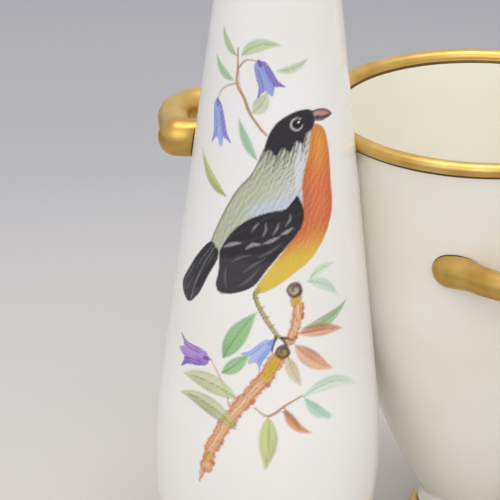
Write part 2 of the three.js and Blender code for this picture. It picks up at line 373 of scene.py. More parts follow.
def loop(shape, wall, axis_x, side):
    """A loop as three closed bars: two stubs, and the arch between their elbows along a cubic
    curve. side is -1 for a loop on the front of the vessel and 1 for one on its back. What
    would reach through the vessel's wall is pressed flat inside it."""
    radius = np.interp(shape["level"], wall[:, 1], wall[:, 0])
    root = loop_point(radius - LOOP_SINK, shape["root_angle"])
    elbow = loop_point(radius + shape["standoff"], shape["elbow_angle"])
    pull = shape["elbow_pull"] * (shape["reach"] - elbow[1])
    knots = np.array([elbow, elbow + loop_point(pull, shape["splay"]),
                      [shape["middle_pull"] * elbow[0], shape["reach"]], [0, shape["reach"]]])
    t = np.linspace(0, 1, BAR_STEPS + 1)[:, None]
    half = ((1 - t) ** 3 * knots[0] + 3 * (1 - t) ** 2 * t * knots[1]
            + 3 * (1 - t) * t ** 2 * knots[2] + t ** 3 * knots[3])
    u = np.clip(t[:, 0] / shape["swelling"], 0, 1)
    thin = u * u * (3 - 2 * u)
    bar = (shape["root_diameter"] * (1 - thin) + shape["diameter"] * thin) / 2
    path = np.concatenate([half, half[-2::-1] * [-1, 1]])
    parts = [(path, np.concatenate([bar, bar[-2::-1]]), BAR_SIDES)]
    ball = shape["root_diameter"] / 2
    stub_way = elbow - root
    length = np.hypot(*stub_way)
    is_ball = length < SHORTEST_STUB
    stub_way = loop_point(1, shape["root_angle"]) if is_ball else stub_way / length
    rise = np.linspace(0.04, pi / 2, 12)
    fall = rise[-2::-1] if is_ball else rise[::-1]
    reach = np.concatenate([-ball * np.cos(rise), length + ball * np.cos(fall)])
    stub = ball * np.sin(np.concatenate([rise, fall]))
    for mirror in (1, -1):
        parts.append(((root + reach[:, None] * stub_way) * [mirror, 1], stub, STUB_SIDES))
    points, faces, at = [], [], 0
    for line, radii, sides in parts:
        centres = np.stack([line[:, 0], line[:, 1] * side, np.full(len(line), shape["level"])], 1)
        p, f = tube(centres, radii, sides)
        points.append(p)
        faces.append(f + at)
        at += len(p)
    points, faces = np.concatenate(points), np.concatenate(faces)
    distance = np.hypot(points[:, 0], points[:, 1])
    off_wall = distance - np.interp(points[:, 2], wall[:, 1], wall[:, 0])
    points[:, :2] *= (1 + np.maximum(-ROOT_DEPTH - off_wall, 0) / distance)[:, None]
    turn = radians(-np.sign(axis_x) * shape["turn"])
    points[:, :2] = points[:, :2] @ [[cos(turn), sin(turn)], [-sin(turn), cos(turn)]]
    return points + [axis_x, 0, 0], faces, np.maximum(off_wall, -ROOT_DEPTH)


# The painting
# Overglaze enamel brushed on the fired glaze of the flasks' fronts: a black-headed songbird on
# a flowering branch on the left flask, and a plainer sprig on the right one. It has no
# thickness, so it is a colour on the wall. Places are (arc, height) on the wall in mm, the arc
# measured to the right from the line that faces the picture.

PAINTING_TURN = -VIEW_AZIMUTH
OFF_THE_SHEET = 999
BRUSH_EDGE = 0.18
BLACK, SLATE, JET, INK = "2b282c", "4a474d", "1c1a1e", "2f2a26"
LEAF, DEEP_LEAF, PALE_LEAF, SAGE = "83c46a", "48925a", "b7cf86", "8fae78"
TEAL, OLIVE, LIME, MOSS = "74c095", "a39c48", "c0cf55", "757a38"
RUST, ORANGE, TAN, BROWN = "a8501f", "ea9558", "c9995c", "84502a"
PALE_BARK, BARK, DARK_BARK, GOLD_BARK = "f0c49a", "d8813f", "97481d", "d6b33a"
STALK, TWIG, WARM_STALK = "b98a5a", "a97a4a", "c99a5c"
BLUE, PALE_BLUE, PURPLE, LILAC = "8197de", "b4c2f0", "7440a8", "b394da"
THROAT, BREAST, SCARLET, BELLY = "eda238", "e0743f", "c24a28", "e4c23a"


def linear(colour):
    """An sRGB hex colour, such as "e7e3de", as linear red, green and blue."""
    c = np.array([int(colour[i:i + 2], 16) for i in (0, 2, 4)]) / 255
    return np.where(c <= 0.04045, c / 12.92, ((c + 0.055) / 1.055) ** 2.4)


def smooth(x, low, high):
    """0 below low, 1 above high, and an even S-curve between them."""
    t = np.clip((x - low) / (high - low), 0, 1)
    return t * t * (3 - 2 * t)


def new_sheet(points, axis_x):
    """A flask's points as a sheet to paint: their arcs (radius times angle) and heights, their
    colour and how far it covers. Points inside the flask lie far off to the side."""
    angle = np.arctan2(points[:, 0] - axis_x, -points[:, 1]) + PAINTING_TURN
    angle = (angle + pi) % (2 * pi) - pi
    radius = np.interp(points[:, 2], *flask_outside.T[::-1])
    outer = np.hypot(points[:, 0] - axis_x, points[:, 1]) > radius - 0.3
    return dict(s=np.where(outer, radius * angle, OFF_THE_SHEET), z=points[:, 2],
                rgb=np.ones((len(points), 3)), cover=np.zeros(len(points)))


def curve(points, closed=False, steps=10):
    """A smooth line through the points, by the cubic whose slope at each is half the step
    between its neighbours (Catmull-Rom)."""
    p = np.array(points, float)
    if closed:
        p = np.concatenate([p[-1:], p, p[:2]])
    else:
        p = np.concatenate([2 * p[:1] - p[1:2], p, 2 * p[-1:] - p[-2:-1]])
    t = np.linspace(0, 1, steps, endpoint=False)[None, :, None]
    a, b, c, d = p[:-3, None], p[1:-2, None], p[2:-1, None], p[3:, None]
    line = 0.5 * (2 * b + (c - a) * t + (2 * a - 5 * b + 4 * c - d) * t ** 2
                  + (3 * b - a - 3 * c + d) * t ** 3)
    return np.concatenate([line.reshape(-1, 2), p[-2:-1]])


def nearest(sheet, line, margin):
    """For the sheet's points near a line: which they are, the distance to its nearest segment,
    how far along the line that is from 0 to 1, and the side, 1 to the left and -1 to the right."""
    low, high = line.min(0) - margin, line.max(0) + margin
    at = np.flatnonzero((sheet["s"] > low[0]) & (sheet["s"] < high[0])
                        & (sheet["z"] > low[1]) & (sheet["z"] < high[1]))
    q = np.stack([sheet["s"][at], sheet["z"][at]], 1)[:, None]
    a, b = line[None, :-1], line[None, 1:]
    ab, aq = b - a, q - a
    t = np.clip((aq * ab).sum(2) / np.maximum((ab ** 2).sum(2), 1e-9), 0, 1)
    gap = np.hypot(*np.moveaxis(aq - t[..., None] * ab, 2, 0))
    k = gap.argmin(1)
    i = np.arange(len(at))
    cross = ab[0, k, 0] * aq[i, k, 1] - ab[0, k, 1] * aq[i, k, 0]
    return at, gap[i, k], (k + t[i, k]) / (len(line) - 1), np.sign(cross)


def lay(sheet, at, cover, colour):
    """Paint over what is there: colour is one hex colour or one linear colour a point."""
    colour = linear(colour) if isinstance(colour, str) else colour
    cover = np.clip(cover, 0, 1)
    below = sheet["cover"][at]
    total = cover + below * (1 - cover)
    paint = cover[:, None] * colour + (below * (1 - cover))[:, None] * sheet["rgb"][at]
    sheet["rgb"][at] = np.where(total[:, None] > 1e-4, paint / np.maximum(total, 1e-4)[:, None], 1)
    sheet["cover"][at] = total


def mixed(a, b, t):
    """From hex colour a at t = 0 to hex colour b at t = 1, in linear light."""
    return linear(a) + (linear(b) - linear(a)) * np.clip(t, 0, 1)[:, None]


def hairs(across, along, spacing, length, seed):
    """A brush's hair marks from 0 to 1: waves across the stroke, spacing apart, whose phase
    wanders over the length given."""
    wander = np.sin(along / length + seed) + 0.6 * np.sin(2.3 * along / length + 2 * seed + across)
    coarse = np.sin(2 * pi * across / spacing + 1.7 * wander)
    fine = np.sin(3.7 * pi * across / spacing + seed)
    return 0.5 + (coarse + 0.5 * fine) / 3


def grain(sheet, at, direction):
    """Places across and along the way that hair marks run, given as a direction on the wall."""
    s, z = sheet["s"][at], sheet["z"][at]
    return direction[1] * s - direction[0] * z, direction[0] * s + direction[1] * z


def hair_strokes(sheet, area, spacing, length, seed, low, high, strength, colour):
    """Separate hair strokes over an area (which points, their cover, their places across and
    along), where the hair marks rise from low to high."""
    at, cover, across, along = area
    marks = smooth(hairs(across, along, spacing, length, seed), low, high)
    lay(sheet, at, cover * marks * strength, colour)


def fill(sheet, points, edge=0.35):
    """What is inside a closed smooth outline: the points, their cover with a soft edge, and
    their depth inside it in mm. A point is inside if a ray to the right crosses an odd count."""
    line = curve(points, closed=True)
    at, gap, _, _ = nearest(sheet, line, 1)
    s, z = sheet["s"][at][:, None], sheet["z"][at][:, None]
    (s0, z0), (s1, z1) = line[:-1].T, line[1:].T
    rise = np.where(z1 == z0, 1e-9, z1 - z0)
    crosses = ((z0 > z) != (z1 > z)) & (s < (s1 - s0) * (z - z0) / rise + s0)
    depth = np.where(crosses.sum(1) % 2 == 1, gap, -gap)
    return at, smooth(depth, -edge / 2, edge / 2), depth


def stroke(sheet, points, start, end, colour, strength=1.0, middle=None):
    """A brush stroke along a smooth line, its width going from start to end, or over a middle
    width between them, with a soft edge."""
    line = curve(points) if len(points) > 2 else np.array(points, float)
    at, gap, t, _ = nearest(sheet, line, max(start, end, middle or 0))
    halfway = (start + end) / 2 if middle is None else middle
    width = np.interp(t, [0, 0.5, 1], [start, halfway, end])
    lay(sheet, at, strength * smooth(width / 2 - gap, -BRUSH_EDGE, BRUSH_EDGE), colour)


def leaf(sheet, base, tip, width, bend, pale, deep, vein=None, seed=0.0, strength=0.92):
    """A leaf from base to tip: half-width w/2 sin(pi t^0.8) about a midrib that bends aside,
    paler on one side and deeper at the edges, with side veins 1.5 mm apart, pooled enamel and
    hair marks, and the midrib stroked over it."""
    base, tip = np.array(base, float), np.array(tip, float)
    along = tip - base
    aside = np.array([-along[1], along[0]])
    t = np.linspace(0, 1, 14)[:, None]
    line = base + along * t + aside * bend * 4 * t * (1 - t)
    at, gap, t, side = nearest(sheet, line, width)
    half = width / 2 * np.sin(pi * np.clip(t, 0, 1) ** 0.8)
    cover = smooth(half - gap, -0.35, 0.4)
    length = np.hypot(*along)
    rib = 0.5 + 0.5 * np.sin(2 * pi * (t * length + gap * 0.9) / 1.5 + side)
    tone = np.clip(0.14 + 0.2 * side + 0.5 * smooth(gap / np.maximum(half, 0.1), 0.45, 1.1)
                   + 0.18 * (rib - 0.5) + 0.15 * np.sin(7 * t + seed), 0, 1)
    pool = 0.5 + 0.5 * np.sin(2.6 * t + 0.5 * gap * side + seed)
    wash = strength * (0.7 + 0.16 * pool + 0.14 * hairs(gap * side, t * length, 0.9, 3, seed))
    lay(sheet, at, cover * wash, mixed(pale, deep, tone))
    stroke(sheet, line[:-2], 0.3, 0.16, vein or deep, 0.75)


PETALS = np.array([(0, -0.08), (0, 0.08), (0.1, 0.26), (0.4, 0.36), (0.72, 0.42), (1.0, 0.62),
                   (0.86, 0.3), (0.84, 0.22), (1.08, 0.02), (0.84, -0.2), (0.86, -0.3),
                   (0.98, -0.6), (0.72, -0.42), (0.4, -0.36), (0.1, -0.26)])
PETAL_SEAM = np.array([(0.25, 0.7), (0.6, 0.9), (0.86, 1.25)])


def bell(sheet, top, mouth, width, outside, inside, seed=0.0):
    """A harebell from its stalk to its mouth: three petals flaring to points, dark at the sides
    and pale in the middle, with fine lines along it and a seam between the petals. The outline
    and seams are in shares of the bell's length and width."""
    top, mouth = np.array(top, float), np.array(mouth, float)
    along = mouth - top
    length = np.hypot(*along)
    along /= length
    aside = np.array([along[1], -along[0]])
    outline = top + PETALS[:, :1] * length * along + PETALS[:, 1:] * width * aside
    at, cover, _ = fill(sheet, outline, 0.3)
    q = np.stack([sheet["s"][at], sheet["z"][at]], 1) - top
    u, v = q @ along / length, q @ aside / width
    lines = hairs(v * width, u * length, 0.8, 4, seed)
    tone = np.clip(1.0 - 2.2 * np.abs(v - 0.1) - 0.3 * (lines - 0.5) + 0.35 * u, 0, 1)
    lay(sheet, at, cover * (0.88 + 0.12 * lines), mixed(outside, inside, tone))
    for across in (-0.2, 0.22):
        seam = top + PETAL_SEAM[:, :1] * length * along + PETAL_SEAM[:, 1:] * across * width * aside
        stroke(sheet, seam, 0.2, 0.35, outside, 0.8)
    stroke(sheet, [top, top + along * length * 0.12], 0.9, 1.2, outside, 0.8)


def bark(sheet, points, start, end, seed):
    """A bare branch: a pale warm wash with streaks along it, gold over its first quarter and
    red-brown along both ragged edges."""
    line = curve(points)
    at, gap, t, side = nearest(sheet, line, max(start, end) + 1)
    length = np.hypot(*np.diff(line, axis=0).T).sum()
    width = np.interp(t, [0, 1], [start, end])
    ragged = (0.6 * np.sin(0.9 * t * length + seed + side)
              + 0.5 * np.sin(2.3 * t * length + 2 * seed + 2 * side)
              + 0.4 * np.sin(5.1 * t * length + 3 * side))
    across = gap * side / (width / 2)
    cover = smooth(width / 2 - gap + 0.32 * ragged, -0.4, 0.35)
    streaks = hairs(gap * side, t * length, 1.0, 1.6, seed)
    wash = mixed(PALE_BARK, BARK, np.abs(across) + 0.6 * (streaks - 0.3))
    lay(sheet, at, cover * (0.8 + 0.2 * streaks), wash)
    golden = smooth(0.24 - t, 0, 0.1) * smooth(-np.abs(across), -0.8, -0.4)
    lay(sheet, at, cover * golden, GOLD_BARK)
    lay(sheet, at, cover * smooth(np.abs(across + 0.55 * ragged), 0.8, 1.5) * 0.6, DARK_BARK)
    lay(sheet, at, cover * smooth(streaks, 0.75, 1.0) * 0.5, BROWN)


def bird_back(sheet):
    """The back: olive grey paling towards the breast, with a blue-grey patch above the wing,
    and olive, dark and white feather strokes that darken up the neck."""
    outline = [(-2.8, 121.5), (-5.5, 115.2), (-9.5, 110.1), (-12.5, 105.0), (-15.5, 99.0),
               (-17.4, 94.6), (-15.6, 92.4), (-8.5, 92.4), (3.2, 94.7), (7.8, 101.5), (8.9, 113.2),
               (10.4, 120.8), (10.0, 126.6), (3.7, 129.9), (-0.8, 126.8)]
    at, cover, _ = fill(sheet, outline)
    s, z = sheet["s"][at], sheet["z"][at]
    across, along = grain(sheet, at, (0.5, 0.87))
    area = at, cover, across, along
    lay(sheet, at, cover * 0.95, mixed("b9bda0", "d9dbd8", smooth(across, -62, -46)))
    above_wing = smooth(-np.abs(z - 0.35 * s - 106.7), -2.6, -0.8) * smooth(s, -9, -4)
    lay(sheet, at, cover * above_wing * 0.85, "c6d0e4")
    hair_strokes(sheet, area, 1.5, 2.2, 0.4, 0.55, 0.95, 0.35, "a5a860")
    hair_strokes(sheet, area, 1.1, 1.6, 2.1, 0.6, 0.95, 0.12 + 0.6 * smooth(z, 108, 117), "54544a")
    hair_strokes(sheet, area, 1.3, 1.9, 4.0, 0.6, 0.95, 0.38, "eff1ec")
    stroke(sheet, outline[:6], 0.35, 0.3, "5c5343", 0.75, middle=0.5)


def bird_breast(sheet):
    """The breast: amber at the throat, orange below it and yellow at the belly, with scarlet
    and pale feather strokes and a redder edge."""
    outline = [(10.0, 127.2), (13.4, 126.0), (15.2, 119.9), (16.0, 111.8), (16.5, 104.7),
               (14.6, 98.3), (10.8, 92.7), (5.7, 88.8), (0.6, 85.2), (-3.5, 83.4), (-4.0, 85.2),
               (-1.0, 89.7), (2.9, 95.0), (6.2, 99.6), (7.7, 105.0), (7.5, 113.4), (9.0, 120.5)]
    at, cover, depth = fill(sheet, outline)
    s, z = sheet["s"][at], sheet["z"][at]
    warm = mixed(THROAT, BREAST, smooth(-z, -122.9, -110.6))
    low = smooth(0.25 * s - z, -98.9, -89.7)
    lay(sheet, at, cover * 0.97, warm + (linear(BELLY) - warm) * low[:, None])
    area = at, cover, *grain(sheet, at, (0.35, 0.94))
    hair_strokes(sheet, area, 1.2, 1.6, 1.0, 0.55, 0.95, 0.42 * (1 - low), SCARLET)
    hair_strokes(sheet, area, 1.5, 1.5, 3.2, 0.65, 0.98, 0.3, "f2c47c")
    lay(sheet, at, cover * (1 - smooth(depth, 0.2, 3.5)) * 0.35 * (1 - low), SCARLET)


def bird_tail(sheet):
    """The tail: two black feathers with grey hair strokes along them."""
    for outline in ([(-17.1, 94.9), (-21.8, 90.6), (-25.7, 85.6), (-29.3, 80.6), (-28.1, 77.6),
                     (-25.2, 76.5), (-22.3, 78.9), (-19.1, 85.1), (-15.6, 91.4)],
                    [(-15.6, 93.7), (-18.9, 88.9), (-22.6, 83.0), (-23.9, 77.8), (-21.1, 80.0),
                     (-18.0, 85.4), (-14.9, 91.0)]):
        at, cover, _ = fill(sheet, outline, 0.3)
        lay(sheet, at, cover, BLACK)
        area = at, cover, *grain(sheet, at, (0.6, 0.8))
        hair_strokes(sheet, area, 1.8, 5, 0.5, 0.7, 0.95, 0.5, "77757c")
    stroke(sheet, [(-16.3, 93.3), (-21.1, 85.6), (-24.4, 77.9)], 0.25, 0.3, "8c8a90", 0.8)


def bird_wing(sheet):
    """The folded wing: black, with two rows of pale feather tips and grey feather edges."""
    outline = [(6.3, 109.3), (7.7, 105.0), (7.3, 101.3), (5.5, 98.3), (2.7, 95.0), (-1.3, 89.9),
               (-4.3, 85.7), (-7.2, 83.8), (-11.0, 82.4), (-14.3, 82.2), (-15.3, 84.1),
               (-14.5, 88.5), (-14.6, 92.2), (-13.7, 94.5), (-10.6, 99.1), (-6.5, 102.7),
               (-1.6, 105.0), (3.2, 106.1), (5.0, 108.1)]
    at, cover, _ = fill(sheet, outline, 0.3)
    lay(sheet, at, cover, BLACK)
    s, z = sheet["s"][at], sheet["z"][at]
    hair_strokes(sheet, (at, cover, 0.4 * s - 0.9 * z, s), 2.6, 6, 1.0, 0.66, 0.95, 0.35, SLATE)
    lay(sheet, at, cover * smooth(-z, -92.7, -90.7) * 0.5, "4b484e")
    for line in ([(-13.1, 94.4), (-10.8, 95.6), (-8.3, 96.4)],
                 [(-6.9, 95.0), (-5.1, 96.3), (-3.0, 96.5)],
                 [(-2.2, 96.8), (-0.2, 97.7), (1.6, 98.7)],
                 [(2.1, 99.3), (3.6, 100.0), (5.1, 101.0)]):
        stroke(sheet, line, 0.3, 0.3, "a9a7a9", 0.8, middle=1.0)
    for line in ([(-5.4, 99.7), (-4.6, 101.1), (-3.6, 102.2)],
                 [(-2.5, 98.6), (-1.8, 100.5), (-1.8, 102.1)],
                 [(0.0, 99.2), (1.0, 100.8), (1.5, 102.4)],
                 [(3.3, 101.6), (4.3, 103.1), (4.5, 104.7)]):
        stroke(sheet, line, 0.2, 0.2, "98969b", 0.75, middle=0.6)
    for line in ([(-10.7, 90.9), (-8.5, 92.4), (-5.3, 93.6)],
                 [(-7.3, 88.8), (-4.7, 91.0), (-1.6, 93.1)],
                 [(-12.4, 89.0), (-12.6, 86.3), (-12.2, 84.0)],
                 [(-8.3, 85.0), (-5.7, 87.2), (-3.1, 90.4)],
                 [(-3.7, 93.0), (-0.6, 94.7), (2.4, 97.1)]):
        stroke(sheet, line, 0.25, 0.2, "6d6b71", 0.7, middle=0.7)
    stroke(sheet, [(3.0, 105.3), (6.0, 108.3), (7.7, 104.4), (7.0, 100.3)], 0.3, 0.3, JET, 0.9,
           middle=1.0)


def bird_head(sheet):
    """The black head with ragged strokes down the neck, a grey bill, and an eye in a pale ring
    with a glint."""
    stroke(sheet, [(6.2, 124.0), (6.6, 119.3), (6.4, 114.6), (6.0, 110.9)], 1.4, 0.6, "dfe3ea",
           0.75, middle=2.6)
    outline = [(-2.7, 121.0), (-1.8, 124.9), (0.4, 128.7), (4.2, 131.2), (7.6, 131.9),
               (9.9, 131.1), (10.6, 128.6), (9.7, 126.4), (8.1, 125.4), (7.3, 123.1),
               (5.4, 123.6), (3.9, 121.0), (2.1, 122.1), (0.3, 120.0), (-1.2, 121.6)]
    at, cover, _ = fill(sheet, outline, 0.45)
    lay(sheet, at, cover, BLACK)
    area = at, cover, *grain(sheet, at, (0.5, 0.87))
    hair_strokes(sheet, area, 1.2, 3, 0.2, 0.75, 0.95, 0.4, SLATE)
    for root, tip in (((-2.0, 122.1), (-3.5, 118.3)), ((-1.2, 121.6), (-2.4, 116.8)),
                      ((-0.2, 121.1), (-1.6, 117.4)), ((0.8, 121.1), (-0.3, 115.8)),
                      ((2.1, 122.1), (0.6, 117.4)), ((3.1, 122.1), (2.2, 116.4)),
                      ((4.1, 122.3), (3.2, 118.4)), ((5.2, 123.0), (4.2, 117.9)),
                      ((6.2, 123.5), (5.5, 119.4)), ((7.3, 123.6), (6.9, 118.7)),
                      ((8.1, 124.8), (7.6, 120.7))):
        stroke(sheet, [root, tip], 0.6, 0.12, BLACK, 0.7)
    upper_bill = [(9.6, 131.1), (12.0, 131.5), (14.7, 130.6), (16.2, 129.0), (14.1, 128.7),
                  (10.3, 129.2)]
    at, cover, depth = fill(sheet, upper_bill, 0.25)
    lay(sheet, at, cover, mixed("43353a", "bf9290", smooth(depth, 0.2, 0.9)))
    stroke(sheet, [(10.0, 128.7), (12.7, 128.5), (15.1, 128.7)], 0.5, 0.3, "4a4143", 0.9, middle=0.8)
    stroke(sheet, [(10.9, 129.6), (13.4, 129.1), (15.5, 129.2)], 0.25, 0.15, JET, 0.9)
    eye = np.array((5.6, 128.2))
    turn = np.linspace(0, 2 * pi, 20)
    ring = eye + 1.55 * np.stack([np.cos(turn), np.sin(turn)], 1)
    stroke(sheet, ring[3:19], 0.25, 0.3, "cfccc9", 0.9, middle=0.55)
    stroke(sheet, [eye - [0.3, 0], eye + [0.3, 0]], 2.0, 2.0, "151316")
    stroke(sheet, [eye + [0.3, 0.45], eye + [0.5, 0.45]], 0.4, 0.4, "ffffff", 0.9)


def bird_leg(sheet):
    """The one leg that shows: olive, with a black line down its back and four small scales."""
    stroke(sheet, [(-3.5, 84.5), (-4.0, 82.3), (-1.3, 77.2), (2.2, 72.2)], 1.3, 0.9, "b9a95c", 0.95,
           middle=1.1)
    stroke(sheet, [(-4.5, 83.9), (-4.5, 82.0), (-2.1, 77.1), (1.4, 72.2)], 0.35, 0.3, BLACK, 0.9)
    for root, tip in (((-4.0, 82.1), (-3.0, 82.7)), ((-2.6, 79.5), (-1.6, 80.3)),
                      ((-1.3, 77.2), (-0.3, 77.7)), ((0.0, 74.8), (1.1, 75.6))):
        stroke(sheet, [root, tip], 0.35, 0.2, "5a5036", 0.6)


def cut_end(sheet, centre, radius, light):
    """The sawn end of a branch: an oval with a dark rim and a swirl of year rings in it."""
    turn = np.linspace(0, 2 * pi, 26)
    rim = np.array(centre) + radius * np.stack([1.08 * np.cos(turn), np.sin(turn)], 1)
    at, cover, _ = fill(sheet, rim[:-1], 0.4)
    s, z = sheet["s"][at] - centre[0], sheet["z"][at] - centre[1]
    swirl = np.sin(3.2 * np.hypot(s, z) + np.arctan2(z, s))
    lay(sheet, at, cover * 0.95, mixed("5d4a3a", light, 0.5 + 0.5 * swirl))
    stroke(sheet, rim, 0.6, 0.9, "4a3c34", 0.9)
    stroke(sheet, rim[4:16] + [0.2, 0.3], 0.5, 0.5, "8a7a6a", 0.8)


def top_spray(sheet):
    """The thin twig behind the bird's head, with pale leaves and two harebells."""
    leaf(sheet, (-10.8, 144.8), (-15.8, 151.7), 2.3, 0.12, PALE_LEAF, SAGE, seed=1)
    leaf(sheet, (-9.3, 145.1), (1.5, 148.7), 3.3, 0.16, PALE_LEAF, SAGE, seed=2, strength=0.8)
    leaf(sheet, (0.1, 142.2), (8.5, 145.3), 2.2, -0.1, PALE_LEAF, SAGE, seed=3, strength=0.75)
    leaf(sheet, (-11.5, 138.4), (-18.3, 143.5), 2.6, 0.14, LEAF, SAGE, seed=4, strength=0.85)
    leaf(sheet, (-6.1, 130.8), (-2.3, 136.7), 3.9, -0.1, "c9c98e", SAGE, seed=5, strength=0.75)
    leaf(sheet, (-4.5, 118.7), (-9.7, 129.2), 2.6, 0.06, TEAL, SAGE, seed=6, strength=0.8)
    leaf(sheet, (-12.9, 107.8), (-22.6, 117.5), 3.0, 0.1, LIME, MOSS, seed=7)
    twig = [(-10.5, 146.9), (-10.4, 142.3), (-10.5, 137.6), (-8.4, 134.3), (-6.9, 130.9),
            (-4.7, 128.1), (-2.3, 125.4)]
    shade = [(-10.0, 141.3), (-9.6, 137.2), (-7.5, 133.5), (-6.1, 130.0), (-3.4, 126.1)]
    stroke(sheet, twig, 0.5, 0.7, STALK, 0.9, middle=0.9)
    stroke(sheet, shade, 0.2, 0.3, DARK_BARK, 0.7)
    stroke(sheet, [(-10.2, 137.9), (-13.1, 136.7), (-15.5, 134.8), (-16.9, 132.3)], 0.5, 0.3,
           WARM_STALK, 0.85)
    stroke(sheet, [(-10.1, 141.8), (-8.4, 144.0), (-6.4, 144.5), (-4.8, 144.2)], 0.5, 0.35, TWIG, 0.85)
    bell(sheet, (-4.6, 144.5), (-1.0, 136.2), 6.6, PURPLE, "93a6e6", seed=1)
    bell(sheet, (-16.9, 132.0), (-15.1, 120.9), 5.8, "7b63c6", "9db4ee", seed=2)


def middle_leaves(sheet):
    """The leaves and harebells beside the perch: green ones to the left, rust to the right."""
    leaf(sheet, (10.1, 87.2), (17.7, 89.9), 2.3, 0.1, "cfe3c0", LEAF, seed=8, strength=0.6)
    leaf(sheet, (9.2, 86.5), (18.9, 80.9), 2.8, 0.1, "bfe0c4", TEAL, seed=9, strength=0.7)
    leaf(sheet, (8.2, 73.9), (22.4, 79.1), 3.2, -0.08, LEAF, MOSS, vein=DEEP_LEAF, seed=10)
    leaf(sheet, (7.1, 72.7), (20.9, 71.7), 3.3, 0.05, ORANGE, RUST, vein=DARK_BARK, seed=11)
    leaf(sheet, (6.4, 69.8), (17.5, 61.9), 4.4, -0.06, "f0b27e", RUST, vein=RUST, seed=12)
    leaf(sheet, (4.6, 66.7), (8.5, 58.6), 3.3, -0.05, "d9c9a0", TAN, vein=OLIVE, seed=13,
         strength=0.85)
    leaf(sheet, (-12.6, 65.0), (-3.6, 78.6), 5.2, 0.03, LEAF, DEEP_LEAF, vein="3f7f4f", seed=14)
    leaf(sheet, (-12.8, 61.0), (-5.2, 67.5), 3.6, -0.04, LEAF, DEEP_LEAF, vein="3f7f4f", seed=15)
    bell(sheet, (0.4, 71.1), (-5.2, 64.9), 5.4, BLUE, PALE_BLUE, seed=3)
    bell(sheet, (-16.8, 63.8), (-27.9, 62.9), 7.2, PURPLE, LILAC, seed=4)
    stroke(sheet, [(-16.2, 63.9), (-13.0, 59.3), (-11.5, 56.2), (-10.6, 52.6)], 0.4, 0.5, "c58a4c",
           0.9)
    leaf(sheet, (-8.4, 54.8), (-26.3, 57.1), 5.0, -0.1, "cdd79a", OLIVE, vein=MOSS, seed=16)


def perch(sheet):
    """The main branch with its tapered foot and the sawn stub beside it, a leaf across it, and
    the bird's three toes."""
    bough = [(1.8, 66.0), (-1.2, 61.1), (-5.2, 56.0), (-8.9, 51.2), (-12.7, 45.2), (-15.5, 39.6),
            (-16.6, 34.9)]
    bark(sheet, bough, 4.0, 3.6, 1.0)
    bark(sheet, [(-16.0, 37.8), (-18.1, 33.9), (-18.4, 30.4)], 1.6, 0.5, 2.0)
    bark(sheet, [(6.4, 82.9), (7.0, 78.6), (6.5, 74.9), (5.0, 71.2)], 3.2, 2.6, 3.0)
    leaf(sheet, (-8.5, 46.5), (-27.3, 51.9), 4.6, -0.14, "c9cf8e", MOSS, vein="5f5a34", seed=17)
    stroke(sheet, [(-10.8, 48.8), (-14.6, 40.9), (-17.8, 33.4)], 0.4, 0.2, "e9c27a", 0.7)
    cut_end(sheet, (3.3, 68.1), 1.5, "b0903c")
    cut_end(sheet, (6.0, 84.5), 1.68, "c9b9a0")
    stroke(sheet, [(1.6, 72.4), (0.9, 70.3), (0.5, 68.1)], 0.8, 0.35, INK, 0.95)
    stroke(sheet, [(2.2, 72.2), (3.8, 70.5), (4.6, 68.3)], 0.8, 0.35, INK, 0.95)
    stroke(sheet, [(1.4, 72.2), (3.5, 71.9), (5.8, 71.2)], 0.9, 0.4, INK, 0.95)


def low_leaves(sheet):
    """The twig at the lower right and its teal, rust and olive leaves."""
    twig = [(-3.6, 52.9), (-0.7, 50.9), (1.8, 51.8), (4.1, 53.6), (8.6, 56.0)]
    stroke(sheet, twig, 0.5, 0.5, "b98a52", 0.9, middle=0.8)
    leaf(sheet, (8.9, 55.7), (26.3, 55.2), 3.4, 0.16, "d9ecd8", TEAL, seed=18, strength=0.7)
    leaf(sheet, (9.4, 55.3), (19.1, 48.4), 3.0, -0.1, "b9dcc0", "6fa98a", seed=19, strength=0.85)
    leaf(sheet, (4.1, 53.1), (11.9, 45.6), 2.6, -0.14, ORANGE, RUST, vein=DARK_BARK, seed=20)
    leaf(sheet, (3.6, 52.0), (8.3, 46.3), 1.6, 0.1, TAN, BROWN, seed=21)
    leaf(sheet, (-0.2, 50.7), (-0.7, 35.9), 4.9, 0.03, LIME, OLIVE, vein=MOSS, seed=22)


